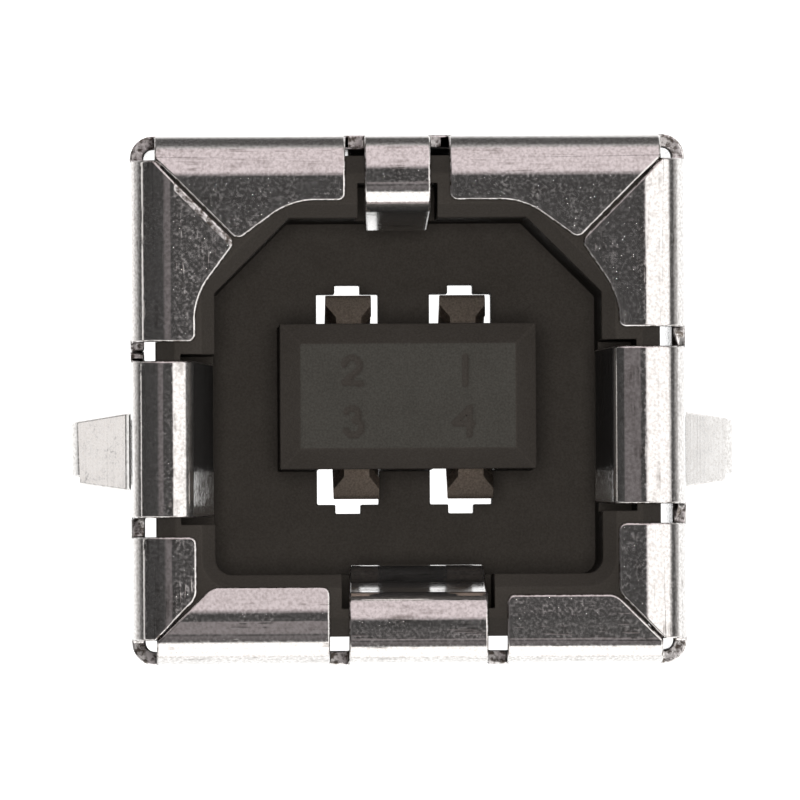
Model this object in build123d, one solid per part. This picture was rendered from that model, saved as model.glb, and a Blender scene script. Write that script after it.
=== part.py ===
from build123d import *
from dataclasses import dataclass
import math
import os

# A vertical board socket of the square, four-contact kind. A folded sheet shell with a rolled
# rim stands round a black moulded housing, and four leaf contacts lie along its tongue.
# Lengths are in millimetres. The origin is where the mating axis meets the board, +Z points out
# of the mating face, and +Y points to the side of the cavity with the two chamfered corners.

# Cavity and tongue, the sizes that the plug fits
cavity_w = 8.45
cavity_h = 7.78
cavity_chamfer = 1.63
cavity_corner_r = 0.35
cavity_depth = 9.00
cavity_lead = 0.30
tongue_w = 5.60
tongue_h = 3.18
tongue_recess = 1.00        # its front lies this far behind the rim
tongue_edge = 0.45
tongue_nose = 0.80          # solid tongue in front of the grooves

# Housing round the cavity
side_wall = 1.275
end_wall = 1.36             # above and below the cavity
rear_wall = 1.60
stand_off = 0.40            # air between the board and the rear edges
housing_corner_r = 0.90
housing_edge = 0.40
front_gap = 0.30            # between its front and the rolled rim
rib_w = 0.80
rib_inset = 1.50            # from the housing's corners to the middle of a rib
rib_short = 2.60            # the ribs end this far behind the housing's front
rib_lead = 0.50
foot_size = 1.50
foot_inset = 0.20
middle_foot_w = 2.00
middle_foot_h = 1.00

# Shell: one sheet, folded into a square tube round the housing
sheet = 0.30
side_gap = 0.26             # air between the housing and the shell
end_gap = 0.23
shell_drop = 0.08           # the tube's middle lies this far below the mating axis
shell_corner_r = 0.50
seam_gap = 0.04
dovetail_neck = 1.80
dovetail_end = 2.60
dovetail_reach = 1.20
relief_w = 0.25             # notches beside the strips folded from the tube's rear edge
relief_rise = 0.40

# Rolled rim: eight corner tabs, mitred at the corners
roll_r = 0.92               # outside radius of the roll
root_depth = 1.35           # from the front of the rim to the roots of its slots
tab_lean = 0.06             # the tabs lean in by this much before they roll
flat_tilt = 2.0             # degrees, the flats dip to the rear
over_tilt = 9.0             # degrees, the one at the lower left is pressed in further
mitre_gap = 0.10
tab_slot = 0.42
tab_tip_r = 0.16
nose_root_r = 0.45          # where a tab's straight edge turns into its slanted one
nose_depth = 2.30           # tips of the upper tabs, in from both outer faces
nose_run = 3.53             # their slanted edges start this far from the corner

# Spring fingers, one in the middle of each side
finger_recess = 0.30        # behind the cavity wall where the finger leaves the rim
finger_reach = 0.28         # in front of the cavity wall at its crest
finger_flat = 0.03          # between its two bends
finger_crest = 3.60         # from the front of the rim
finger_length = 5.10
finger_taper = 0.10
finger_bow_r = 1.60
finger_play = 0.15          # round the fingers in their pockets

# Board legs, cut from the lower edges of the side walls, and the folded rear tabs
leg_at = -1.12
leg_root_w = 1.75
leg_crest_w = 1.40
leg_step = 0.16
leg_tip_w = 0.90
leg_kick = 1.44             # how far the kink stands out beyond the wall
leg_tip_kick = 0.13
leg_crest = 1.55            # below the board's face
leg_length = 3.30
leg_bend_r = 0.45
rear_tab_w = 2.40
rear_tab_reach = 1.30
rear_tab_bend_r = 0.40

# Contacts
contact_t = 0.25
pitch = 2.50
row_gap = 2.00
slot_w = 1.37
slot_rise = 0.74            # above the tongue's face
notch_w = 0.56
notch_rise = 0.20
leaf_w = 1.00
leaf_tip_w = 0.56
leaf_crest = 0.69           # corner of the bow, above the tongue's face
leaf_crest_at = 3.80        # behind the rim
leaf_bow_r = 0.60
leaf_foot_r = 1.00
leaf_foot = 1.20            # straight length in front of the rear wall
leaf_tip_taper = 0.50
leaf_tip_rise = 0.15        # of the tip, above the groove's floor
leaf_tip_play = 0.20        # between the tip and the groove's front end
upper_leaf_shift = -0.03    # each row of leaves lies to one side of its slots
lower_leaf_shift = 0.13
base_w = 1.64
base_height = 1.10
barb = 0.03
barb_h = 0.30
key_play = 0.02
key_stop = 0.30             # rear wall left in front of the keyways
tail_w = 0.60
tail_length = 3.20
tail_tip = 0.30

spare = 1.00                # how far a cutting or overlapping form runs on past its need

# Sizes and levels worked out from those above
housing_w = cavity_w + 2 * side_wall
housing_h = cavity_h + 2 * end_wall
shell_w = housing_w + 2 * (side_gap + sheet)
shell_h = housing_h + 2 * (end_gap + sheet)
floor_z = stand_off + rear_wall
shell_front = floor_z + cavity_depth
root_z = shell_front - root_depth
relief_top = stand_off + relief_rise
housing_front = shell_front - sheet - front_gap
tongue_z = shell_front - tongue_recess
groove_end = tongue_z - tongue_nose
groove_floor = row_gap / 2 - contact_t / 2
slot_top = tongue_h / 2 + slot_rise
base_top = floor_z - key_stop


@dataclass
class Wall:
    """One side of the shell. Places along it run clockwise, seen from the front."""

    outward: Vector
    face: float             # outer face, from the mating axis
    cavity: float           # cavity wall, from the mating axis
    housing: float          # housing's outer face
    finger_at: float
    finger_w: float
    reach: tuple            # of the corner tabs before and after the finger
    tilt: tuple = (flat_tilt, flat_tilt)

    @property
    def along(self):
        return self.outward.cross(Vector(0, 0, 1))

    @property
    def finger_face(self):
        return self.cavity + finger_recess


top = Wall(Vector(0, 1, 0), shell_h / 2 - shell_drop, cavity_h / 2, housing_h / 2,
           finger_at=-0.22, finger_w=1.44, reach=(1.44, 1.44))
right = Wall(Vector(1, 0, 0), shell_w / 2, cavity_w / 2, housing_w / 2,
             finger_at=0.66, finger_w=3.44, reach=(1.48, 1.50))
bottom = Wall(Vector(0, -1, 0), shell_h / 2 + shell_drop, cavity_h / 2, housing_h / 2,
              finger_at=-0.19, finger_w=3.03, reach=(1.51, 1.70), tilt=(flat_tilt, over_tilt))
left = Wall(Vector(-1, 0, 0), shell_w / 2, cavity_w / 2, housing_w / 2,
            finger_at=-0.93, finger_w=3.42, reach=(1.42, 1.42))
walls = [top, right, bottom, left]


def across(wall, place=0.0):
    """Plane across a wall: x outward, y to the front, normal along the wall."""
    return Plane(origin=wall.along * place, x_dir=wall.outward, z_dir=wall.along)


def behind(wall, height):
    """Plane parallel to the board: x outward, y along the wall, normal to the rear."""
    return Plane(origin=(0, 0, height), x_dir=wall.outward, z_dir=(0, 0, -1))


def facing(wall):
    """Plane on the mating axis, parallel to a wall: x along it, y to the front."""
    return Plane(origin=(0, 0, 0), x_dir=wall.along, z_dir=wall.outward * -1)


def bent_strip(plane, points, radii, width, thickness=sheet):
    """A strip of sheet, centred on the plane. The points lie on one face, the sheet to its left."""
    path = FilletPolyline(*points, radius=radii)
    section = make_face(offset(path, amount=thickness, side=Side.LEFT, closed=True).edges())
    return extrude(plane * section, width / 2, both=True)


def rolled_side(wall, tilt):
    """The rolled rim along one whole side, before its tabs are cut out."""
    run = nose_depth + spare
    points = [
        (wall.face, root_z),
        (wall.face - tab_lean, shell_front),
        (wall.face - run, shell_front - (run - roll_r) * math.tan(math.radians(tilt))),
    ]
    return bent_strip(across(wall), points, [roll_r], shell_w + shell_h)


def tab_outline(wall, end):
    """Plan of one corner tab. End -1 lies before the finger and +1 after it."""
    neighbour = walls[(walls.index(wall) + end) % 4]
    slot = wall.finger_at + end * (wall.finger_w / 2 + tab_slot)
    beyond = wall.face + spare
    inner = wall.face - wall.reach[end > 0]
    gap = mitre_gap / math.sqrt(2)

    def on_mitre(depth):
        return (wall.face - depth, end * (neighbour.face - depth - gap))

    has_nose = top in (wall, neighbour)
    if has_nose:
        tip = [(inner, end * (neighbour.face - nose_run)), on_mitre(nose_depth)]
    else:
        tip = [on_mitre(wall.face - inner)]
    corner = (beyond, end * (neighbour.face - shell_corner_r - gap))
    outline = make_face(Polyline((beyond, slot), (inner, slot), *tip,
                                 on_mitre(shell_corner_r), corner, close=True))
    if has_nose:
        outline = fillet(outline.vertices().sort_by_distance(tip[0])[:1], nose_root_r)
    ends = [outline.vertices().sort_by_distance(spot)[0] for spot in ((inner, slot), tip[-1])]
    return fillet(ends, tab_tip_r)


def corner_tab(wall, end):
    """One corner tab of a side, cut from its rolled rim."""
    plan = extrude(behind(wall, shell_front) * tab_outline(wall, end), root_depth)
    return rolled_side(wall, wall.tilt[end > 0]) & plan


def spring_finger(wall):
    """The finger in the middle of a side: over the rim and bowed into the cavity."""
    crest = wall.cavity - finger_reach
    crown_r = wall.face - tab_lean - roll_r - finger_flat - wall.finger_face
    points = [
        (wall.face, root_z),
        (wall.face - tab_lean, shell_front),
        (wall.finger_face, shell_front),
        (wall.finger_face, shell_front - finger_crest / 2),
        (crest, shell_front - finger_crest),
        (wall.finger_face, shell_front - finger_length),
    ]
    radii = [roll_r, crown_r, finger_bow_r, finger_bow_r]
    strip = bent_strip(across(wall, wall.finger_at), points, radii, wall.finger_w)
    half = wall.finger_w / 2
    tip = half - finger_taper
    outline = make_face(Polyline((-half, root_z), (-half, shell_front), (half, shell_front),
                                 (half, root_z), (tip, shell_front - finger_length - sheet),
                                 (-tip, shell_front - finger_length - sheet), close=True))
    plane = facing(wall)
    cutter = extrude(plane * Pos(wall.finger_at, 0) * outline, wall.face, both=True)
    return strip & cutter


def folded_strip(wall):
    """Place and width of the strip that is folded from the rear edge of a side."""
    if wall in (left, right):
        return leg_at * wall.along.Y, leg_root_w
    return 0.0, rear_tab_w


def relief_notch(wall):
    """Notch that frees a folded strip from the tube's rear edge."""
    place, width = folded_strip(wall)
    plan = Pos(wall.face, 0) * Rectangle(2 * (sheet + spare), 2 * relief_top)
    return extrude(across(wall, place) * plan, width / 2 + relief_w, both=True)


def board_leg(wall):
    """A kinked leg that snaps into the board, narrower past the kink."""
    place = folded_strip(wall)[0]
    points = [
        (wall.face + leg_tip_kick, -leg_length),
        (wall.face + leg_kick, -leg_crest),
        (wall.face, 0),
        (wall.face, relief_top + sheet),
    ]
    strip = bent_strip(across(wall, place), points, [leg_bend_r, leg_bend_r], leg_root_w)
    root = leg_root_w / 2
    crest = leg_crest_w / 2
    tip = leg_tip_w / 2
    step_z = -leg_crest + sheet
    outline = make_face(Polyline(
        (root, relief_top + sheet), (-root, relief_top + sheet), (-root, 0),
        (-crest, step_z), (-crest + leg_step, step_z), (-tip, -leg_length),
        (tip, -leg_length), (crest, step_z), (root, 0), close=True))
    if wall.along.Y < 0:
        outline = mirror(outline, Plane.YZ)
    cutter = extrude(facing(wall) * Pos(place, 0) * outline, 2 * wall.face, both=True)
    return strip & cutter


def rear_tab(wall):
    """A tab folded under the housing, which keeps it in the shell."""
    level = stand_off - sheet
    points = [
        (wall.face - rear_tab_reach, level),
        (wall.face, level),
        (wall.face, relief_top + sheet),
    ]
    return bent_strip(across(wall), points, [rear_tab_bend_r], rear_tab_w)


def seam():
    """The slit where the sheet's two ends meet, locked by a dovetail."""
    neck = dovetail_neck / 2
    end = dovetail_end / 2
    middle = (stand_off + root_z) / 2
    line = left.finger_at + left.finger_w / 2 + tab_slot / 2
    path = Polyline(
        (line, shell_front), (line, middle + neck), (line + dovetail_reach, middle + end),
        (line + dovetail_reach, middle - end), (line, middle - neck), (line, 0))
    slit = trace(path, seam_gap)
    wall_plane = facing(left).offset(-left.face)
    return extrude(wall_plane * slit, sheet + spare, both=True)


def make_shell():
    """The whole shell as one folded sheet."""
    inner_r = shell_corner_r - sheet
    tube = extrude(
        Pos(0, -shell_drop, stand_off) * (
            RectangleRounded(shell_w, shell_h, shell_corner_r)
            - RectangleRounded(shell_w - 2 * sheet, shell_h - 2 * sheet, inner_r)),
        root_z - stand_off)
    tube -= seam()
    for wall in walls:
        tube -= relief_notch(wall)
    pieces = [tube]
    for wall in walls:
        pieces += [corner_tab(wall, -1), corner_tab(wall, 1), spring_finger(wall)]
    pieces += [board_leg(left), board_leg(right), rear_tab(top), rear_tab(bottom)]
    return pieces[0].fuse(*[solid for piece in pieces[1:] for solid in piece.solids()])


def cavity_outline():
    """Section of the cavity, chamfered at the two upper corners."""
    outline = Rectangle(cavity_w, cavity_h)
    outline = chamfer(outline.vertices().sort_by(Axis.Y)[-2:], cavity_chamfer)
    return fillet(outline.vertices().sort_by(Axis.Y)[:2], cavity_corner_r)


def tongue():
    """The tongue that carries the contacts."""
    bar = extrude(Pos(0, 0, stand_off) * Rectangle(tongue_w, tongue_h), tongue_z - stand_off)
    return chamfer(bar.edges().group_by(Axis.Z)[-1], tongue_edge)


def contact_cut(x, row):
    """Groove in the tongue, slot and notch in the rear wall, and keyway of one contact."""

    def pocket(width, low, high, rear, front):
        middle = row * (low + high) / 2
        return extrude(Pos(x, middle, rear) * Rectangle(width, high - low), front - rear)

    groove = pocket(slot_w, groove_floor, slot_top, 0, groove_end)
    notch = pocket(notch_w, groove_floor, slot_top + notch_rise, 0, floor_z)
    key_top = groove_floor + contact_t + key_play
    keyway = pocket(base_w + 2 * barb, groove_floor, key_top, 0, floor_z - key_stop)
    return groove + notch + keyway


def finger_pocket(wall):
    """Pocket in the cavity wall that a spring finger moves in."""
    back = wall.finger_face + sheet + finger_play
    width = wall.finger_w + 2 * finger_play
    plan = Pos(back / 2, wall.finger_at) * Rectangle(back, width)
    depth = finger_length + sheet + finger_play
    cut = extrude(behind(wall, shell_front) * plan, depth)
    keep = extrude(Pos(0, 0, stand_off) * cavity_outline(), shell_front)
    return cut - keep


def locating_ribs(wall):
    """Two ribs that centre the housing in the shell."""
    inner = wall.face - sheet
    rib_top = housing_front - rib_short
    place = walls[(walls.index(wall) + 1) % 4].housing - rib_inset
    outline = make_face(Polyline(
        (wall.housing - spare, stand_off), (inner, stand_off), (inner, rib_top - rib_lead),
        (wall.housing, rib_top), (wall.housing - spare, rib_top), close=True))
    ribs = [extrude(across(wall, end * place) * outline, rib_w / 2, both=True)
            for end in (-1, 1)]
    return ribs[0] + ribs[1]


def make_housing():
    """The moulded housing."""
    body = extrude(Pos(0, 0, stand_off) * RectangleRounded(housing_w, housing_h, housing_corner_r),
                   housing_front - stand_off)
    body = chamfer(body.edges().group_by(Axis.Z)[-1], housing_edge)
    for wall in walls:
        body += locating_ribs(wall)
    body -= extrude(Pos(0, 0, floor_z) * cavity_outline(), shell_front)
    body -= extrude(Pos(0, 0, housing_front - cavity_lead) * cavity_outline(), cavity_lead,
                    taper=-45)
    for wall in walls:
        body -= finger_pocket(wall)
    body += tongue()
    foot_x = housing_w / 2 - foot_inset - foot_size / 2
    foot_y = housing_h / 2 - foot_inset - foot_size / 2
    corners = [Pos(x, y) * Rectangle(foot_size, foot_size)
               for x in (-foot_x, foot_x) for y in (-foot_y, foot_y)]
    for foot in [Rectangle(middle_foot_w, middle_foot_h)] + corners:
        body += extrude(foot, stand_off)
    for x in (-pitch / 2, pitch / 2):
        for row in (-1, 1):
            body -= contact_cut(x, row)
    return body


def contact_blank(shift):
    """Stamped outline of a contact before it is bent: tail, barbed base and leaf."""
    tail = tail_w / 2
    base = base_w / 2
    base_foot = base_top - base_height
    leaf = leaf_w / 2
    leaf_tip = leaf_tip_w / 2
    taper_z = shell_front - leaf_crest_at + leaf_tip_taper

    def edge(sign):
        """One edge, from the tail's end to the leaf's tip."""
        points = [(tail - tail_w / 4, -tail_length), (tail, tail_tip - tail_length),
                  (tail, base_foot), (base, base_foot)]
        for low in (base_foot + barb_h / 2, base_foot + 2 * barb_h):
            points += [(base, low), (base + barb, low), (base, low + barb_h)]
        points.append((base, base_top))
        places = [(sign * x, z) for x, z in points]
        ends = [(leaf, base_top), (leaf, taper_z), (leaf_tip, taper_z + leaf_tip_taper),
                (leaf_tip, shell_front)]
        return places + [(shift + sign * x, z) for x, z in ends]

    return make_face(Polyline(*edge(1), *reversed(edge(-1)), close=True))


def make_contact(x, row):
    """One contact: a straight tail and base, and a leaf bowed out of the tongue's groove."""
    plane = Plane(origin=(x, 0, 0), x_dir=(0, row, 0), z_dir=(row, 0, 0))
    crest_z = shell_front - leaf_crest_at
    crest = tongue_h / 2 + leaf_crest - contact_t
    points = [
        (groove_floor + leaf_tip_rise, groove_end - leaf_tip_play),
        (crest, crest_z),
        (groove_floor, floor_z + leaf_foot),
        (groove_floor, -tail_length),
    ]
    strip = bent_strip(plane, points, [leaf_bow_r, leaf_foot_r], 2 * base_w, contact_t)
    shift = upper_leaf_shift if row > 0 else lower_leaf_shift
    cutter = extrude(Pos(x, 0, 0) * Plane.XZ * contact_blank(shift), housing_h / 2, both=True)
    return strip & cutter


def save(shape, name):
    """Write one node."""
    export_step(shape, f"parts/{name}.step")


os.makedirs("parts", exist_ok=True)
save(make_shell(), "shell")
save(make_housing(), "housing")
contact_places = {1: (pitch / 2, 1), 2: (-pitch / 2, 1), 3: (-pitch / 2, -1), 4: (pitch / 2, -1)}
for number, (x, row) in contact_places.items():
    save(make_contact(x, row), f"contact_{number}")
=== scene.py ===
import math
from dataclasses import dataclass

import bmesh
import bpy
from mathutils import Matrix, Vector


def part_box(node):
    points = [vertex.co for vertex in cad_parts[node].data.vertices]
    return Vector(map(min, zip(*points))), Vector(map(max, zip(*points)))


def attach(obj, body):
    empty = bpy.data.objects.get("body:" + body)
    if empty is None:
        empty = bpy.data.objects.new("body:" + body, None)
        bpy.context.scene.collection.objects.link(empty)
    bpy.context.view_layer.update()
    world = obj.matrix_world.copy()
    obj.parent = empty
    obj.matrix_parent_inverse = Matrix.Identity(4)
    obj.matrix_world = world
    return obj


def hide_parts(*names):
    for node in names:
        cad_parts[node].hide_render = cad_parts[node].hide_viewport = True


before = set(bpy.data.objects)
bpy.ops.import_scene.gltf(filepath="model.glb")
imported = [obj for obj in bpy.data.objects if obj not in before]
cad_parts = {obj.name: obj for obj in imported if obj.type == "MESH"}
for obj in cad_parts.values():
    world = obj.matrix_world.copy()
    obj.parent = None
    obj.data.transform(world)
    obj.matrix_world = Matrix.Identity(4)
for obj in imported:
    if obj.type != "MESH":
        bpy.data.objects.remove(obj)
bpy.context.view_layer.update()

# A square four-contact board socket, seen straight into its mating face. The nickel-plated
# shell, the black moulding and the bronze leaves are dressed here in their real finishes.
# Shapes are worked out in millimetres and written in metres. +Z points out of the mating face.

MM = 0.001


def box_mm(node):
    """Lowest and highest corner of a node, in millimetres."""
    low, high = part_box(node)
    return low / MM, high / MM


shell_low, shell_high = box_mm("shell")
housing_low, housing_high = box_mm("housing")

# Shell, as its sheet is cut and folded
sheet = 0.30
shell_front = shell_high.z
leg_foot = shell_low.z
stand_off = 0.40
side_face = housing_high.x + sheet
top_face = shell_high.y
bottom_face = -shell_low.y
shell_corner_r = 0.50
root_depth = 1.35
root_z = shell_front - root_depth
seam_gap = 0.04
dovetail_neck = 1.80
dovetail_end = 2.60
dovetail_reach = 1.20

# Rolled rim
roll_r = 0.92
tab_lean = 0.06
flat_tilt = 2.0
over_tilt = 9.0             # the flat at the lower left is pressed in further
mitre_gap = 0.06
burnish_w = 0.14            # along the upper left mitre, where the folding die rubbed
tab_slot = 0.42
tab_tip_r = 0.16
nose_root_r = 0.45
nose_depth = 2.30
nose_run = 3.53
flat_run = nose_depth + 1.00    # the flats aim at their dip over this length

# Spring fingers
finger_crest = 3.60
finger_reach = 0.28
finger_length = 5.10
finger_taper = 0.10
finger_bow_r = 1.60
finger_knee_r = 2.40
side_cavity = 4.225
end_cavity = 3.89

# Board legs and folded rear tabs
leg_at = -1.12
leg_root_w = 1.75
leg_crest_w = 1.40
leg_step = 0.16
leg_tip_w = 0.90
leg_kick = 1.44             # corner of the kink, beyond the wall
leg_tip_kick = 0.13
leg_crest = 1.55
leg_bend_r = 0.45
rear_tab_w = 2.40
rear_tab_reach = 1.30
rear_tab_bend_r = 0.40
relief_w = 0.25
relief_top = 0.80

# Contact numbers, sunk in the tongue's face
pitch = 2.50
number_row = 0.55
stroke_r = 0.12
stroke_depth = 0.06
tongue_z = 10.0
number_rim = 0.10

# Roundings left by stamping and moulding
sheared_r = 0.05
moulded_r = 0.03
stamped_r = 0.02


def hex_linear(code):
    """Linear colour of an sRGB hex value such as "#403B36"."""
    channels = [int(code[i:i + 2], 16) / 255 for i in (1, 3, 5)]
    return tuple(c / 12.92 if c <= 0.04045 else ((c + 0.055) / 1.055) ** 2.4
                 for c in channels) + (1.0,)


def add(tree, kind, links=None, inputs=None, **settings):
    """Adds a node with its settings, its input values and the links that feed it."""
    node = tree.nodes.new(kind)
    for name, value in settings.items():
        setattr(node, name, value)
    for name, value in (inputs or {}).items():
        node.inputs[name].default_value = value
    for name, source in (links or {}).items():
        tree.links.new(source, node.inputs[name])
    return node


def ramp_stops(ramp, stops):
    """Sets the stops of a colour ramp from (place, colour) pairs."""
    elements = ramp.color_ramp.elements
    elements.remove(elements[-1])
    elements[0].position, elements[0].color = stops[0]
    for place, colour in stops[1:]:
        elements.new(place).color = colour


def grey(level):
    """A grey of that linear level."""
    return (level, level, level, 1.0)


def new_material(name):
    """An empty material with its surface shader: (material, tree, shader)."""
    material = bpy.data.materials.new(name)
    material.use_nodes = True
    tree = material.node_tree
    return material, tree, tree.nodes["Principled BSDF"]


def nickel_plate():
    """Bright nickel plating over drawn sheet. It mirrors the lamps. Drag marks from the
    folding tool run across the bends, scored die lines run along them, and the flats have
    small rubbed spots."""
    material, tree, shader = new_material("bright nickel plating on drawn sheet")
    uv = add(tree, "ShaderNodeUVMap", uv_map="sheet")
    place = add(tree, "ShaderNodeTexCoord")
    drag_mm = 0.05
    die_mm = 0.12
    score_mm = 0.45
    speck_mm = 0.07
    smudge_mm = 0.50
    across = add(tree, "ShaderNodeMapping", {"Vector": uv.outputs["UV"]},
                 {"Scale": (1 / (drag_mm * MM), 1 / (1.2 * MM), 1.0)})
    drag = add(tree, "ShaderNodeTexNoise", {"Vector": across.outputs["Vector"]},
               {"Scale": 1.0, "Detail": 3.0, "Roughness": 0.6})
    along = add(tree, "ShaderNodeMapping", {"Vector": uv.outputs["UV"]},
                {"Scale": (1 / (6.0 * MM), 1 / (die_mm * MM), 1.0)})
    die = add(tree, "ShaderNodeTexNoise", {"Vector": along.outputs["Vector"]},
              {"Scale": 1.0, "Detail": 2.0, "Roughness": 0.5})
    wide = add(tree, "ShaderNodeMapping", {"Vector": uv.outputs["UV"]},
               {"Scale": (1 / (9.0 * MM), 1 / (score_mm * MM), 1.0)})
    scored = add(tree, "ShaderNodeTexNoise", {"Vector": wide.outputs["Vector"]},
                 {"Scale": 1.0, "Detail": 3.0, "Roughness": 0.45})
    scores = add(tree, "ShaderNodeValToRGB", {"Fac": scored.outputs["Fac"]})
    ramp_stops(scores, [(0.47, grey(0)), (0.50, grey(1)), (0.53, grey(0))])
    specks = add(tree, "ShaderNodeTexNoise", {"Vector": place.outputs["Object"]},
                 {"Scale": 1 / (speck_mm * MM), "Detail": 1.0, "Roughness": 0.5})
    sharp = add(tree, "ShaderNodeMapRange", {"Value": specks.outputs["Fac"]},
                {"From Min": 0.42, "From Max": 0.66}, interpolation_type="SMOOTHSTEP")
    smudges = add(tree, "ShaderNodeTexNoise", {"Vector": place.outputs["Object"]},
                  {"Scale": 1 / (smudge_mm * MM), "Detail": 4.0, "Roughness": 0.6})
    worn = add(tree, "ShaderNodeMapRange", {"Value": smudges.outputs["Fac"]},
               {"From Min": 0.44, "From Max": 0.70}, interpolation_type="SMOOTHSTEP")
    axes = add(tree, "ShaderNodeSeparateXYZ", {"Vector": place.outputs["Object"]})
    drawn = add(tree, "ShaderNodeMath", {0: axes.outputs["Z"]}, {1: 0.0},
                operation="GREATER_THAN")
    broken = add(tree, "ShaderNodeMath", {0: scores.outputs["Color"], 1: worn.outputs["Result"]},
                 operation="MULTIPLY")
    broken = add(tree, "ShaderNodeMath", {0: broken.outputs[0], 1: drawn.outputs[0]},
                 operation="MULTIPLY")
    rubs = add(tree, "ShaderNodeMath", {0: worn.outputs["Result"], 1: sharp.outputs["Result"]},
               operation="MULTIPLY")
    height = add(tree, "ShaderNodeMath", {0: die.outputs["Fac"]}, {1: 0.6}, operation="MULTIPLY")
    for source, weight in ((drag.outputs["Fac"], 0.15), (specks.outputs["Fac"], 0.14),
                           (broken.outputs[0], 0.8)):
        height = add(tree, "ShaderNodeMath", {0: source, 2: height.outputs[0]}, {1: weight},
                     operation="MULTIPLY_ADD")
    bump = add(tree, "ShaderNodeBump", {"Height": height.outputs[0]},
               {"Strength": 1.0, "Distance": 0.0015 * MM})
    rough = add(tree, "ShaderNodeMapRange", {"Value": specks.outputs["Fac"]},
                {"From Min": 0.3, "From Max": 0.7, "To Min": 0.05, "To Max": 0.14})
    rough = add(tree, "ShaderNodeMath", {0: rubs.outputs[0], 2: rough.outputs["Result"]},
                {1: 0.08}, operation="MULTIPLY_ADD")
    tone = add(tree, "ShaderNodeValToRGB", {"Fac": specks.outputs["Fac"]})
    ramp_stops(tone, [(0.30, hex_linear("#CAC7C4")), (0.65, hex_linear("#E9E7E5"))])
    # The broken scored lines are drawn darker in colour, towards #7A746E.
    score_darkening = add(tree, "ShaderNodeMath", {0: broken.outputs[0]}, {1: 0.7}, operation="MULTIPLY")
    colour = add(tree, "ShaderNodeMix", data_type="RGBA")
    tree.links.new(score_darkening.outputs[0], colour.inputs["Factor"])
    tree.links.new(tone.outputs["Color"], colour.inputs[6])
    colour.inputs[7].default_value = hex_linear("#7A746E")
    tree.links.new(colour.outputs[2], shader.inputs["Base Color"])
    tree.links.new(rough.outputs[0], shader.inputs["Roughness"])
    tree.links.new(bump.outputs["Normal"], shader.inputs["Normal"])
    shader.inputs["Metallic"].default_value = 0.955
    return material


def sheared_edge():
    """The sheared edge of the plated sheet: a burnished half and a torn, greyer half, which
    draws each tab with a thin bright line."""
    material, tree, shader = new_material("sheared edge of nickel-plated sheet")
    place = add(tree, "ShaderNodeTexCoord")
    tear_mm = 0.13
    tears = add(tree, "ShaderNodeTexNoise", {"Vector": place.outputs["Object"]},
                {"Scale": 1 / (tear_mm * MM), "Detail": 3.0, "Roughness": 0.65})
    tone = add(tree, "ShaderNodeValToRGB", {"Fac": tears.outputs["Fac"]})
    ramp_stops(tone, [(0.40, hex_linear("#6E6760")), (0.56, hex_linear("#F4F2F0"))])
    bump = add(tree, "ShaderNodeBump", {"Height": tears.outputs["Fac"]},
               {"Strength": 1.0, "Distance": 0.02 * MM})
    tree.links.new(tone.outputs["Color"], shader.inputs["Base Color"])
    tree.links.new(bump.outputs["Normal"], shader.inputs["Normal"])
    shader.inputs["Metallic"].default_value = 1.0
    shader.inputs["Roughness"].default_value = 0.32
    return material


def black_polyester(name, dark, light):
    """Black glass-filled polyester, injection moulded: a warm black with a dull skin, whose
    fine grain comes from the spark-eroded mould and the glass fibres below it."""
    material, tree, shader = new_material(name)
    place = add(tree, "ShaderNodeTexCoord")
    grain_mm = 0.045
    flow_mm = 0.9
    grain = add(tree, "ShaderNodeTexNoise", {"Vector": place.outputs["Object"]},
                {"Scale": 1 / (grain_mm * MM), "Detail": 3.0, "Roughness": 0.6})
    flow = add(tree, "ShaderNodeTexNoise", {"Vector": place.outputs["Object"]},
               {"Scale": 1 / (flow_mm * MM), "Detail": 2.0})
    mottle = add(tree, "ShaderNodeMix", {"A": grain.outputs["Fac"], "B": flow.outputs["Fac"]},
                 {"Factor": 0.25})
    tone = add(tree, "ShaderNodeValToRGB", {"Fac": mottle.outputs["Result"]})
    ramp_stops(tone, [(0.35, hex_linear(dark)), (0.65, hex_linear(light))])
    bump = add(tree, "ShaderNodeBump", {"Height": grain.outputs["Fac"]},
               {"Strength": 0.4, "Distance": 0.010 * MM})
    rough = add(tree, "ShaderNodeMapRange", {"Value": flow.outputs["Fac"]},
                {"From Min": 0.3, "From Max": 0.7, "To Min": 0.60, "To Max": 0.72})
    tree.links.new(tone.outputs["Color"], shader.inputs["Base Color"])
    tree.links.new(rough.outputs["Result"], shader.inputs["Roughness"])
    tree.links.new(bump.outputs["Normal"], shader.inputs["Normal"])
    shader.inputs["Specular IOR Level"].default_value = 0.2
    return material


def phosphor_bronze():
    """Stamped phosphor bronze strip: a warm brown metal with a soft shine, rolling lines along
    its length and a thin dull film."""
    material, tree, shader = new_material("stamped phosphor bronze strip")
    place = add(tree, "ShaderNodeTexCoord")
    line_mm = 0.04
    run_mm = 1.5
    stretch = add(tree, "ShaderNodeMapping", {"Vector": place.outputs["Object"]},
                  {"Scale": (1 / (line_mm * MM), 1 / (line_mm * MM), 1 / (run_mm * MM))})
    lines = add(tree, "ShaderNodeTexNoise", {"Vector": stretch.outputs["Vector"]},
                {"Scale": 1.0, "Detail": 2.0})
    tone = add(tree, "ShaderNodeValToRGB", {"Fac": lines.outputs["Fac"]})
    ramp_stops(tone, [(0.3, hex_linear("#B4A292")), (0.7, hex_linear("#E0D0C0"))])
    bump = add(tree, "ShaderNodeBump", {"Height": lines.outputs["Fac"]},
               {"Strength": 0.3, "Distance": 0.004 * MM})
    tree.links.new(tone.outputs["Color"], shader.inputs["Base Color"])
    tree.links.new(bump.outputs["Normal"], shader.inputs["Normal"])
    shader.inputs["Metallic"].default_value = 0.8
    shader.inputs["Roughness"].default_value = 0.35
    return material


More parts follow.
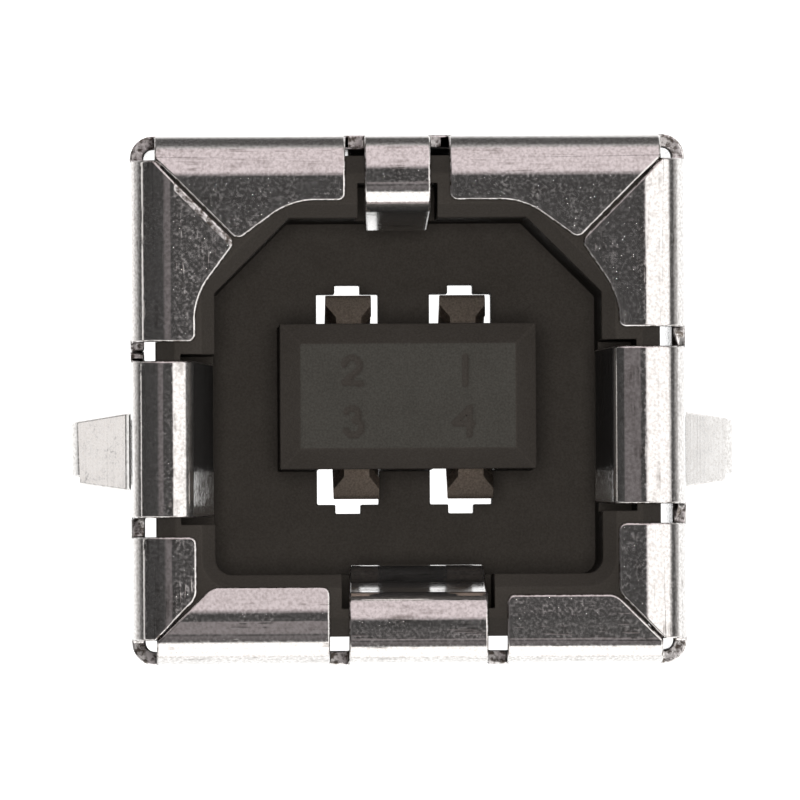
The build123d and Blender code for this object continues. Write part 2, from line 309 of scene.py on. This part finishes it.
def finish_piece(bm, name, materials):
    """Writes a mesh as a smooth-shaded object, still in millimetres."""
    for face in bm.faces:
        face.smooth = True
    mesh = bpy.data.meshes.new(name)
    bm.to_mesh(mesh)
    bm.free()
    piece = bpy.data.objects.new(name, mesh)
    bpy.context.scene.collection.objects.link(piece)
    for material in materials:
        mesh.materials.append(material)
    return piece


def to_metres(piece):
    """Settles the modifiers of a piece in millimetres, where small faces still tell apart,
    and scales its mesh."""
    graph = bpy.context.evaluated_depsgraph_get()
    mesh = bpy.data.meshes.new_from_object(piece.evaluated_get(graph), depsgraph=graph,
                                           preserve_all_data_layers=True)
    mesh.transform(Matrix.Scale(MM, 4))
    piece.modifiers.clear()
    piece.data = mesh


def round_edges(piece, radius, angle):
    """Rounds the sharp edges of a piece and keeps its flat faces flat in the light."""
    bevel = piece.modifiers.new("rounded edges", "BEVEL")
    bevel.width = radius
    bevel.segments = 3
    bevel.limit_method = "ANGLE"
    bevel.angle_limit = math.radians(angle)
    bevel.use_clamp_overlap = False
    normals = piece.modifiers.new("flat faces", "WEIGHTED_NORMAL")
    normals.mode = "FACE_AREA"
    normals.weight = 100
    normals.thresh = 0.005      # square millimetres: faces nearer than this weigh alike
    to_metres(piece)


@dataclass
class Wall:
    """One side of the shell. Places along it run clockwise, seen from the front."""

    outward: Vector
    face: float
    cavity: float
    finger_at: float
    finger_w: float
    reach: tuple
    crown_r: float              # the finger's second bend, down into the cavity
    tilt: tuple = (flat_tilt, flat_tilt)
    finger_roll: float = roll_r
    finger_flat: float = 0.03   # between the finger's two bends
    finger_dip: float = 0.0     # of that flat
    set_in: float = 0.0         # of its crest, beyond the others
    knee: tuple = ()            # a bend on its way to the crest: depth, and distance inward
    brows: tuple = ((0, 0, 0),) * 3     # sloping strips behind the rim's bend, each its drop,
                                # width and bend: before the finger, on it and after it

    @property
    def along(self):
        return self.outward.cross(Vector((0, 0, 1)))

    @property
    def finger_face(self):
        return self.face - tab_lean - self.finger_roll - self.finger_flat - self.crown_r

    def rim(self, end, radius):
        """Start of a path over the rim, with its bends. A brow has a tighter one."""
        drop, width, bend = self.brows[end + 1]
        start = [(self.face, root_z), (self.face - tab_lean, shell_front - drop)]
        if not width:
            return start, [radius]
        return [*start, (self.face - tab_lean - width, shell_front)], [bend, 1.0]

    def point(self, out, place, height):
        return self.outward * out + self.along * place + Vector((0, 0, height))


# The four fingers of this piece are not set alike, which their highlights show.
top = Wall(Vector((0, 1, 0)), top_face, end_cavity, finger_at=-0.22, finger_w=1.44,
           reach=(1.44, 1.44), crown_r=0.75, finger_roll=0.76)
right = Wall(Vector((1, 0, 0)), side_face, side_cavity, finger_at=0.66, finger_w=3.44,
             reach=(1.48, 1.50), crown_r=0.33, finger_flat=0.28, finger_dip=0.17,
             set_in=-0.15)
bottom = Wall(Vector((0, -1, 0)), bottom_face, end_cavity, finger_at=-0.19, finger_w=3.03,
              reach=(1.51, 1.70), crown_r=0.66, tilt=(flat_tilt, over_tilt),
              finger_roll=0.76, set_in=0.15, knee=(2.40, 0.30),
              brows=((0.10, 0.92, 0.60), (0.09, 0.76, 0.60), (0.16, 1.02, 0.80)))
left = Wall(Vector((-1, 0, 0)), side_face, side_cavity, finger_at=-0.93, finger_w=3.42,
            reach=(1.42, 1.42), crown_r=0.50, finger_roll=0.72, set_in=-0.25)
walls = [top, right, bottom, left]


def neighbour(wall, end):
    """The next side before (-1) or after (+1) this one."""
    return walls[(walls.index(wall) + end) % 4]


def bent_strip(wall, places, points, radii, steps=32):
    """A strip drawn from a straight edge along a path across a wall. The edge has a point at
    each place, and the path has straight runs joined by round bends."""
    bm = bmesh.new()
    verts = [bm.verts.new(wall.point(points[0][0], place, points[0][1])) for place in places]
    edges = [bm.edges.new(pair) for pair in zip(verts, verts[1:])]
    here = Vector(points[0])
    for index in range(1, len(points)):
        corner = Vector(points[index])
        heading = (corner - Vector(points[index - 1])).normalized()
        turn = 0.0
        cut = 0.0
        if index < len(points) - 1:
            onward = (Vector(points[index + 1]) - corner).normalized()
            turn = heading.angle(onward)
            cut = radii[index - 1] * math.tan(turn / 2)
        run = corner - heading * cut - here
        drawn = bmesh.ops.extrude_edge_only(bm, edges=edges)["geom"]
        moved = [item for item in drawn if isinstance(item, bmesh.types.BMVert)]
        bmesh.ops.translate(bm, verts=moved, vec=wall.point(run.x, 0, run.y))
        edges = [item for item in drawn if isinstance(item, bmesh.types.BMEdge)
                 and all(vert in moved for vert in item.verts)]
        here += run
        if turn:
            side = math.copysign(1, heading.cross(onward))
            radius = radii[index - 1]
            centre = here + Vector((-heading.y, heading.x)) * side * radius
            last = bmesh.ops.spin(bm, geom=moved + edges, cent=wall.point(centre.x, 0, centre.y),
                                  axis=wall.along * side, angle=turn, steps=steps)["geom_last"]
            edges = [item for item in last if isinstance(item, bmesh.types.BMEdge)]
            here = corner + onward * cut
    return bm


def cut_plane(bm, faces, point, normal, clear=False):
    """Cuts faces by a plane, and clears what lies on the side that its normal points to."""
    geom = list({item for face in faces for item in [face, *face.edges, *face.verts]})
    bmesh.ops.bisect_plane(bm, geom=geom, dist=1e-5, plane_co=point, plane_no=normal,
                           clear_outer=clear)


def round_corner(bm, wall, out, place, radius):
    """Rounds the corner of a flat that lies at that place in plan."""
    corner = min(bm.verts, key=lambda v: (v.co.dot(wall.outward) - out) ** 2
                 + (v.co.dot(wall.along) - place) ** 2 - v.co.z * 1e-3)
    bmesh.ops.bevel(bm, geom=[corner], offset=radius, offset_type="OFFSET", segments=5,
                    profile=0.5, affect="VERTICES", material=-1, clamp_overlap=True)


def corner_tab(wall, end):
    """One corner tab of the rolled rim. End -1 lies before the finger and +1 after it."""
    beside = neighbour(wall, end)
    gap = mitre_gap / math.sqrt(2)
    slot = wall.finger_at + end * (wall.finger_w / 2 + tab_slot)
    corner = end * (beside.face - shell_corner_r - gap)
    inner = wall.face - wall.reach[end > 0]
    has_nose = top in (wall, beside)
    reach = nose_depth + sheet if has_nose else wall.face - inner
    tilt = math.tan(math.radians(wall.tilt[end > 0]))
    points, radii = wall.rim(end, roll_r)
    share = (flat_run - roll_r) / (flat_run - tab_lean) if len(radii) == 1 else 1.0
    last = points[-1]
    points.append((wall.face - reach, last[1] - (last[0] - wall.face + reach) * tilt * share))
    bm = bent_strip(wall, sorted([slot, corner]), points, radii)
    cut_plane(bm, bm.faces, wall.point(wall.face, end * (beside.face - gap), 0),
              wall.along * end - wall.outward, clear=True)
    if has_nose:
        start = end * (beside.face - nose_run)
        slant = Vector((reach - sheet - wall.face + inner, nose_run - nose_depth - gap))
        cut_plane(bm, bm.faces, wall.point(inner, start, 0), wall.outward)
        cut_plane(bm, bm.faces, wall.point(inner, start, 0), wall.along)
        nose = [face for face in bm.faces
                if face.calc_center_median().dot(wall.outward) < inner]
        beside_nose = [face for face in nose
                       if end * (face.calc_center_median().dot(wall.along) - start) < 0]
        bmesh.ops.delete(bm, geom=beside_nose, context="FACES")
        nose = [face for face in nose if face.is_valid]
        cut_plane(bm, nose, wall.point(inner, start, 0),
                  wall.along * -end * slant.x - wall.outward * slant.y, clear=True)
    bmesh.ops.dissolve_limit(bm, angle_limit=math.radians(0.5), verts=bm.verts,
                             edges=bm.edges, use_dissolve_boundaries=False)
    flat = min(bm.faces, key=lambda face: face.calc_center_median().dot(wall.outward))
    tangent = max(vert.co.dot(wall.outward) for vert in flat.verts)
    if has_nose:
        round_corner(bm, wall, inner, start, nose_root_r)
        tip = wall.face - nose_depth
        round_corner(bm, wall, tip, end * (beside.face - nose_depth - gap), tab_tip_r)
    else:
        round_corner(bm, wall, inner, end * (beside.face - wall.reach[end > 0] - gap),
                     tab_tip_r)
    round_corner(bm, wall, inner, slot, tab_tip_r)
    if wall is left and beside is top:
        inset = burnish_w / math.sqrt(2)
        line = wall.point(wall.face + inset, end * (beside.face - gap - inset), 0)
        across = wall.along * end - wall.outward
        flats = [face for face in bm.faces
                 if face.calc_center_median().dot(wall.outward) < tangent]
        cut_plane(bm, flats, line, across)
        for face in bm.faces:
            centre = face.calc_center_median()
            if centre.dot(wall.outward) < tangent and (centre - line).dot(across) > 0:
                face.material_index = 1
    return bm


def spring_finger(wall):
    """The finger in the middle of a side: over the rim and bowed into the cavity."""
    crest = wall.cavity - finger_reach - wall.set_in
    points, radii = wall.rim(0, wall.finger_roll)
    points.append((wall.finger_face, shell_front - wall.finger_dip))
    radii.append(wall.crown_r)
    if wall.knee:
        depth, inward = wall.knee
        points.append((wall.finger_face - inward, shell_front - depth))
        radii.append(finger_knee_r)
    points += [
        (crest, shell_front - finger_crest),
        (wall.finger_face, shell_front - finger_length),
    ]
    radii.append(finger_bow_r)
    half = wall.finger_w / 2
    places = [wall.finger_at - half, wall.finger_at + half]
    bm = bent_strip(wall, places, points, radii)
    inside = [vert for vert in bm.verts
              if vert.co.dot(wall.outward) < wall.face - wall.finger_roll]
    depth = root_z - shell_front + finger_length + sheet
    for vert in inside:
        drop = max(0.0, root_z - vert.co.z) / depth
        offset = vert.co.dot(wall.along) - wall.finger_at
        vert.co -= wall.along * math.copysign(finger_taper * drop, offset)
    return bm


def board_leg(wall):
    """A kinked leg that snaps into the board, narrower past the kink and stepped there."""
    place = leg_at * wall.along.y
    mirrored = -wall.along.y
    points = [(wall.face, relief_top), (wall.face, 0), (wall.face + leg_kick, -leg_crest),
              (wall.face + leg_tip_kick, leg_foot)]
    root = leg_root_w / 2
    stepped = leg_crest_w / 2 - leg_step
    places = [-root, -stepped, root] if mirrored < 0 else [-root, stepped, root]
    step_z = sheet - leg_crest
    bm = bent_strip(wall, [place + item for item in places], points, [leg_bend_r, leg_bend_r], 8)
    for level in (0, step_z):
        cut_plane(bm, bm.faces, (0, 0, level), (0, 0, 1))
    beyond = [face for face in bm.faces if face.calc_center_median().z < step_z
              and (face.calc_center_median().dot(wall.along) - place) * -mirrored < -stepped]
    bmesh.ops.delete(bm, geom=beyond, context="FACES")
    for vert in bm.verts:
        offset = vert.co.dot(wall.along) - place
        if vert.co.z > step_z:
            share = min(1.0, max(0.0, vert.co.z / step_z))
            half = root + (leg_crest_w / 2 - root) * share
            target = half if abs(offset) > (root + stepped) / 2 else abs(offset)
        else:
            share = (vert.co.z - step_z) / (leg_foot - step_z)
            on_step = offset * -mirrored < 0
            start = stepped if on_step and abs(offset) < (root + stepped) / 2 else leg_crest_w / 2
            target = start + (leg_tip_w / 2 - start) * share
        vert.co += wall.along * (math.copysign(target, offset) - offset)
    return bm


def rear_tab(wall):
    """A tab folded under the housing, which keeps it in the shell."""
    level = stand_off - sheet
    points = [(wall.face, relief_top), (wall.face, level), (wall.face - rear_tab_reach, level)]
    half = rear_tab_w / 2
    return bent_strip(wall, [-half, half], points, [rear_tab_bend_r], 8)


def folded_strip(wall):
    """Place and width of what is folded from the rear edge of a wall."""
    if wall in (left, right):
        return leg_at * wall.along.y, leg_root_w
    return 0.0, rear_tab_w


def square_tube():
    """The walls of the shell from the rear edge to the roots of the slots, with their
    relief notches and the dovetailed seam."""
    bm = bmesh.new()
    ring = []
    for wall in walls:
        half = wall.finger_w / 2
        place, width = folded_strip(wall)
        columns = {-neighbour(wall, -1).face}
        for end in (-1, 1):
            columns.add(wall.finger_at + end * half)
            columns.add(wall.finger_at + end * (half + tab_slot))
            columns.add(end * (neighbour(wall, end).face - shell_corner_r
                               - mitre_gap / math.sqrt(2)))
            columns.add(place + end * width / 2)
            columns.add(place + end * (width / 2 + relief_w))
        ring += [bm.verts.new(wall.point(wall.face, column, stand_off))
                 for column in sorted(columns)]
    edges = [bm.edges.new(pair) for pair in zip(ring, ring[1:] + ring[:1])]
    for level in (relief_top, root_z):
        drawn = bmesh.ops.extrude_edge_only(bm, edges=edges)["geom"]
        moved = [item for item in drawn if isinstance(item, bmesh.types.BMVert)]
        for vert in moved:
            vert.co.z = level
        edges = [item for item in drawn if isinstance(item, bmesh.types.BMEdge)
                 and all(vert in moved for vert in item.verts)]
    notches = []
    for wall in walls:
        place, width = folded_strip(wall)
        for face in bm.faces:
            centre = face.calc_center_median()
            on_wall = abs(centre.dot(wall.outward) - wall.face) < 0.01
            near = abs(centre.dot(wall.along) - place) < width / 2 + relief_w
            if on_wall and near and centre.z < relief_top:
                notches.append(face)
    bmesh.ops.delete(bm, geom=notches, context="FACES")
    corners = [edge for edge in bm.edges
               if all(abs(abs(vert.co.x) - side_face) < 0.01
                      and (abs(vert.co.y - top_face) < 0.01 or abs(vert.co.y + bottom_face) < 0.01)
                      for vert in edge.verts)]
    bmesh.ops.bevel(bm, geom=corners, offset=shell_corner_r, offset_type="OFFSET", segments=6,
                    profile=0.5, affect="EDGES", material=-1, clamp_overlap=False)
    cut_seam(bm)
    return bm


def cut_seam(bm):
    """Cuts the slit where the sheet's two ends meet, locked by a dovetail."""
    line = left.finger_at + left.finger_w / 2 + tab_slot / 2
    middle = (stand_off + root_z) / 2
    neck = dovetail_neck / 2
    end = dovetail_end / 2
    path = [Vector(pair) for pair in (
        (line, root_z), (line, middle + neck), (line + dovetail_reach, middle + end),
        (line + dovetail_reach, middle - end), (line, middle - neck), (line, stand_off))]

    def from_path(place, height):
        """Distance from the middle of the slit."""
        spot = Vector((place, height))
        gaps = []
        for start, stop in zip(path, path[1:]):
            along = stop - start
            share = min(1.0, max(0.0, (spot - start).dot(along) / along.length_squared))
            gaps.append((spot - start - along * share).length)
        return min(gaps)

    def left_faces():
        return [face for face in bm.faces
                if abs(face.calc_center_median().dot(left.outward) - left.face) < 0.01]

    for start, stop in zip(path[:4], path[1:5]):
        along = (stop - start).normalized()
        side = Vector((-along.y, along.x))
        for offset in (-seam_gap / 2, seam_gap / 2):
            spot = start + side * offset
            cut_plane(bm, left_faces(), left.point(left.face, spot.x, spot.y),
                      left.point(0, side.x, side.y))
    slit = []
    for face in left_faces():
        centre = face.calc_center_median()
        if from_path(centre.dot(left.along), centre.z) < seam_gap / 2:
            slit.append(face)
    bmesh.ops.delete(bm, geom=slit, context="FACES")


def unroll(bm):
    """Gives each face its place on the flat sheet: along its wall, and down its path."""
    layer = bm.loops.layers.uv.new("sheet")
    for face in bm.faces:
        centre = face.calc_center_median()
        wall = max(walls, key=lambda item: centre.dot(item.outward) - item.face)
        for loop in face.loops:
            spot = loop.vert.co
            loop[layer].uv = (spot.dot(wall.along) * MM,
                              (spot.z - spot.dot(wall.outward)) * MM)


def make_shell():
    """The whole shell as one folded sheet."""
    parts = [square_tube()]
    for wall in walls:
        parts += [corner_tab(wall, -1), corner_tab(wall, 1), spring_finger(wall)]
    parts += [board_leg(left), board_leg(right), rear_tab(top), rear_tab(bottom)]
    bm = bmesh.new()
    for part in parts:
        mesh = bpy.data.meshes.new("part of the sheet")
        part.to_mesh(mesh)
        part.free()
        bm.from_mesh(mesh)
        bpy.data.meshes.remove(mesh)
    bmesh.ops.remove_doubles(bm, verts=bm.verts, dist=1e-3)
    bmesh.ops.recalc_face_normals(bm, faces=bm.faces)
    side = min(bm.faces, key=lambda face: -face.calc_center_median().x
               if abs(face.normal.x) > 0.99 and face.calc_area() > 1 else 99)
    if side.normal.x < 0:
        bmesh.ops.reverse_faces(bm, faces=bm.faces)
    unroll(bm)
    piece = finish_piece(bm, "folded_shell", [nickel_plate(), sheared_edge()])
    wall = piece.modifiers.new("sheet thickness", "SOLIDIFY")
    wall.thickness = sheet
    wall.offset = -1.0
    wall.use_even_offset = True
    wall.material_offset_rim = 1
    round_edges(piece, sheared_r, 40)
    for vert in piece.data.vertices:    # the roundings at the slots' roots stand out by 2 microns
        vert.co.y = min(max(vert.co.y, shell_low.y * MM), shell_high.y * MM)
    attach(piece, "root")
    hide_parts("shell")


def merged_copy(node):
    """A copy of a node's mesh in millimetres, with its loose triangles joined."""
    bm = bmesh.new()
    bm.from_mesh(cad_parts[node].data)
    bmesh.ops.scale(bm, vec=(1 / MM, 1 / MM, 1 / MM), verts=bm.verts)
    bmesh.ops.remove_doubles(bm, verts=bm.verts, dist=1e-3)
    bmesh.ops.dissolve_limit(bm, angle_limit=math.radians(0.5), verts=bm.verts, edges=bm.edges)
    return bm


def arc(x, y, radius, start, stop):
    """Points along an arc, whose angles are in degrees."""
    steps = 8
    angles = [math.radians(start + (stop - start) * step / steps) for step in range(steps + 1)]
    return [(x + radius * math.cos(angle), y + radius * math.sin(angle)) for angle in angles]


def number_strokes():
    """Middle lines of the contact numbers 1 to 4, each a pair of end points."""
    numbers = [
        (1, 1, [[(0, 0.30), (0, -0.30)]]),
        (-1, 1, [[*arc(0.02, 0.12, 0.17, 170, -35), (-0.15, -0.25), (0.22, -0.27)]]),
        (-1, -1, [arc(0.02, 0.15, 0.14, 160, -70), arc(0.05, -0.13, 0.18, 80, -160)]),
        (1, -1, [[(0.08, -0.31), (0.10, 0.29), (-0.24, -0.05), (0.14, -0.06)]]),
    ]
    strokes = []
    for side, row, lines in numbers:
        middle = Vector((side * pitch / 2, row * number_row))
        for line in lines:
            spots = [middle + Vector(spot) for spot in line]
            strokes += zip(spots, spots[1:])
    return strokes


def sink_numbers(bm):
    """Puts a fine grid in the tongue's face and sinks the rounded strokes into it."""
    face = min(bm.faces, key=lambda item: (item.calc_center_median()
                                           - Vector((0, 0, tongue_z))).length)
    ring = bmesh.ops.inset_region(bm, faces=[face], thickness=number_rim, use_even_offset=True)
    half_w = max(vert.co.x for vert in face.verts)
    half_h = max(vert.co.y for vert in face.verts)
    bmesh.ops.delete(bm, geom=[face], context="FACES_ONLY")
    cell = 0.03
    grid = bmesh.ops.create_grid(
        bm, x_segments=round(2 * half_w / cell), y_segments=round(2 * half_h / cell), size=1.0,
        matrix=Matrix.Translation((0, 0, tongue_z)) @ Matrix.Diagonal((half_w, half_h, 1, 1)))
    strokes = number_strokes()
    for vert in grid["verts"]:
        spot = vert.co.xy
        near = stroke_r
        for start, stop in strokes:
            along = stop - start
            share = min(1.0, max(0.0, (spot - start).dot(along) / along.length_squared))
            near = min(near, (spot - start - along * share).length)
        vert.co.z -= stroke_depth * (1 + math.cos(math.pi * near / stroke_r)) / 2
    fine = {face for vert in grid["verts"] for face in vert.link_faces}
    # The sunk floors of the strokes take the moulding's darker colour instead of the tongue face's
    # colour: painted shade in the strokes.
    for face in [*fine, *ring["faces"]]:
        face.material_index = face.calc_center_median().z > tongue_z - stroke_depth / 3


def make_housing():
    """The moulded housing, with its numbered tongue."""
    bm = merged_copy("housing")
    sink_numbers(bm)
    piece = finish_piece(bm, "moulded_housing", [
        black_polyester("black glass-filled polyester moulding", "#322E2A", "#3C3834"),
        black_polyester("spark-eroded face of the tongue", "#33312D", "#403E3A")])
    round_edges(piece, moulded_r, 30)
    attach(piece, "root")
    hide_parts("housing")


def make_contacts():
    """The four stamped leaves."""
    bronze = phosphor_bronze()
    for number in range(1, 5):
        bm = merged_copy(f"contact_{number}")
        piece = finish_piece(bm, f"leaf_contact_{number}", [bronze])
        round_edges(piece, stamped_r, 30)
        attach(piece, "root")
        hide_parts(f"contact_{number}")


def make_floor():
    """A pale table under the leg tips. The camera sees it white, and it keeps a soft shadow.
    The metal sees it shine in its middle, and past that it sees the light field."""
    table_r = 400.0
    lit_middle = Vector((14.0, -18.0, 0)) * MM
    bm = bmesh.new()
    bmesh.ops.create_circle(bm, cap_ends=True, segments=96, radius=table_r)
    bmesh.ops.translate(bm, verts=bm.verts, vec=(0, 0, leg_foot))
    material, tree, shader = new_material("pale lit table")
    path = add(tree, "ShaderNodeLightPath")
    place = add(tree, "ShaderNodeTexCoord")
    flat = add(tree, "ShaderNodeMapping", {"Vector": place.outputs["Object"]},
               {"Scale": (1.0, 1.0, 0.0), "Location": -lit_middle})
    radius = add(tree, "ShaderNodeVectorMath", {0: flat.outputs["Vector"]}, operation="LENGTH")
    lit = add(tree, "ShaderNodeMapRange", {"Value": radius.outputs["Value"]},
              {"From Min": 42.0 * MM, "From Max": 28.0 * MM}, interpolation_type="SMOOTHSTEP")
    mirrored = add(tree, "ShaderNodeMath", {0: path.outputs["Is Glossy Ray"],
                                            1: path.outputs["Is Transmission Ray"]},
                   operation="MAXIMUM")
    first = add(tree, "ShaderNodeMath", {0: path.outputs["Glossy Depth"]}, {1: 1.5},
                operation="LESS_THAN")
    shine = add(tree, "ShaderNodeEmission", {"Strength": first.outputs[0]}, {"Color": grey(1.3)})
    clear = add(tree, "ShaderNodeBsdfTransparent")
    middle = add(tree, "ShaderNodeMixShader", {0: lit.outputs["Result"], 1: clear.outputs["BSDF"],
                                               2: shine.outputs["Emission"]})
    glow = add(tree, "ShaderNodeMath", {0: path.outputs["Is Camera Ray"]}, {1: 0.94},
               operation="MULTIPLY")
    shader.inputs["Base Color"].default_value = hex_linear("#E6E4E0")
    shader.inputs["Roughness"].default_value = 0.9
    shader.inputs["Specular IOR Level"].default_value = 0.0
    shader.inputs["Emission Color"].default_value = grey(1.0)
    tree.links.new(glow.outputs[0], shader.inputs["Emission Strength"])
    mix = add(tree, "ShaderNodeMixShader", {0: mirrored.outputs[0], 1: shader.outputs["BSDF"],
                                            2: middle.outputs["Shader"]})
    tree.links.new(mix.outputs["Shader"], tree.nodes["Material Output"].inputs["Surface"])
    floor = finish_piece(bm, "floor", [material])
    to_metres(floor)


def light_field():
    """Soft boxes stand to the right and above, dark card in front and to the left. Each side
    has its own run of brightness, by the angle from the mating axis in degrees."""
    pink = Vector((1.06, 0.93, 0.96))
    plain = Vector((1.0, 0.975, 0.965))
    runs = {
        "right": [(0, 0.012, plain), (5, 0.012, plain), (7, 0.38, pink), (9, 1.1, plain),
                  (12, 1.45, plain), (74, 1.45, plain), (80, 0.40, plain), (84, 0.06, plain),
                  (92, 0.06, plain), (99, 0.40, plain), (108, 0.62, plain), (129, 1.10, plain),
                  (144, 1.4, plain)],
        "top": [(0, 0.012, plain), (5, 0.02, plain), (8, 0.22, pink), (12, 0.46, pink),
                (16, 0.70, pink), (20, 0.80, pink), (86, 0.80, pink), (95, 0.46, plain),
                (104, 0.13, plain), (112, 0.08, plain), (140, 0.10, plain), (154, 0.40, plain),
                (175, 1.3, plain)],
        "left": [(0, 0.012, plain), (6, 0.012, plain), (9, 0.14, pink), (22, 0.12, pink),
                 (28, 0.012, plain), (90, 0.012, plain), (93, 1.3, plain), (95, 1.3, plain),
                 (97, 0.03, plain), (104, 0.10, plain), (112, 0.32, plain), (118, 0.55, plain),
                 (130, 0.80, plain), (145, 1.3, plain)],
        "bottom": [(0, 0.012, plain), (14, 0.012, plain), (16, 0.26, pink), (19, 0.22, pink),
                   (24, 0.02, plain), (30, 0.14, pink), (38, 0.10, pink), (46, 0.08, plain),
                   (52, 1.7, plain), (98, 1.7, plain), (112, 0.8, plain), (128, 0.9, plain),
                   (150, 1.3, plain)],
    }
    brightest = 2.0
    world = bpy.data.worlds.new("studio")
    bpy.context.scene.world = world
    world.use_nodes = True
    tree = world.node_tree
    background = tree.nodes["Background"]
    background.inputs["Strength"].default_value = brightest
    direction = add(tree, "ShaderNodeTexCoord").outputs["Generated"]
    axes = add(tree, "ShaderNodeSeparateXYZ", {"Vector": direction})
    angle = add(tree, "ShaderNodeMath", {0: axes.outputs["Z"]}, operation="ARCCOSINE")
    share = add(tree, "ShaderNodeMath", {0: angle.outputs[0]}, {1: math.pi}, operation="DIVIDE")
    sides = {}
    for name, stops in runs.items():
        ramp = add(tree, "ShaderNodeValToRGB", {"Fac": share.outputs[0]})
        ramp_stops(ramp, [(degrees / 180, (*(tint * level / brightest), 1.0))
                          for degrees, level, tint in stops])
        sides[name] = ramp.outputs["Color"]

    def blend(factor, a, b):
        node = add(tree, "ShaderNodeMix", data_type="RGBA")
        tree.links.new(factor, node.inputs["Factor"])
        tree.links.new(a, node.inputs[6])
        tree.links.new(b, node.inputs[7])
        return node.outputs[2]

    def positive(value):
        return add(tree, "ShaderNodeMath", {0: value}, {1: 0.0},
                   operation="GREATER_THAN").outputs[0]

    across = blend(positive(axes.outputs["X"]), sides["left"], sides["right"])
    upright = blend(positive(axes.outputs["Y"]), sides["bottom"], sides["top"])
    x_squared = add(tree, "ShaderNodeMath", {0: axes.outputs["X"], 1: axes.outputs["X"]},
                    operation="MULTIPLY")
    y_squared = add(tree, "ShaderNodeMath", {0: axes.outputs["Y"], 1: axes.outputs["Y"]},
                    operation="MULTIPLY")
    both = add(tree, "ShaderNodeMath", {0: x_squared.outputs[0], 1: y_squared.outputs[0]},
               operation="ADD")
    weight = add(tree, "ShaderNodeMath", {0: x_squared.outputs[0], 1: both.outputs[0]},
                 operation="DIVIDE")
    field = blend(weight.outputs[0], upright, across)
    path = add(tree, "ShaderNodeLightPath")
    fill = add(tree, "ShaderNodeRGB")
    fill.outputs[0].default_value = grey(0.32 / brightest)
    white = add(tree, "ShaderNodeRGB")
    white.outputs[0].default_value = grey(1.0 / brightest)
    lit = blend(path.outputs["Is Diffuse Ray"], field, fill.outputs[0])
    seen = blend(path.outputs["Is Camera Ray"], lit, white.outputs[0])
    tree.links.new(seen, background.inputs["Color"])


def key_lamp():
    """A soft lamp beside the camera. It lights the moulding and stays out of the mirror of
    the flats."""
    lamp = bpy.data.lights.new("front soft box", "AREA")
    lamp.shape = "DISK"
    lamp.size = 50 * MM
    distance = 400.0
    level = 0.80
    lamp.energy = level * math.pi * math.pi * (distance * MM) ** 2
    holder = bpy.data.objects.new("front soft box", lamp)
    holder.location = Vector((-4.8, -3.6, distance)) * MM
    holder.rotation_euler = holder.location.to_track_quat("Z", "Y").to_euler()
    holder.visible_camera = False
    holder.visible_glossy = False
    bpy.context.scene.collection.objects.link(holder)


def make_camera():
    """The photograph's view: straight in, from a little left of and below the mating axis."""
    place = Vector((-6.7, -5.0, 556.0)) * MM
    aim = Vector((-0.196, -0.098, shell_front)) * MM
    roll = math.radians(0.3)
    view_w = 17.43
    camera = bpy.data.cameras.new("camera")
    camera.sensor_width = 36.0
    camera.lens = camera.sensor_width * (place - aim).length / (view_w * MM)
    camera.clip_start = 0.01
    camera.clip_end = 5.0
    holder = bpy.data.objects.new("camera", camera)
    back = (place - aim).normalized()
    across = Vector((0, 1, 0)).cross(back).normalized()
    turn = Matrix((across, back.cross(across), back)).transposed().to_4x4()
    holder.matrix_world = Matrix.Translation(place) @ turn @ Matrix.Rotation(-roll, 4, "Z")
    bpy.context.scene.collection.objects.link(holder)
    bpy.context.scene.camera = holder


make_camera()
light_field()
key_lamp()
make_floor()
make_shell()
make_housing()
make_contacts()
bpy.context.scene.view_settings.view_transform = "Standard"
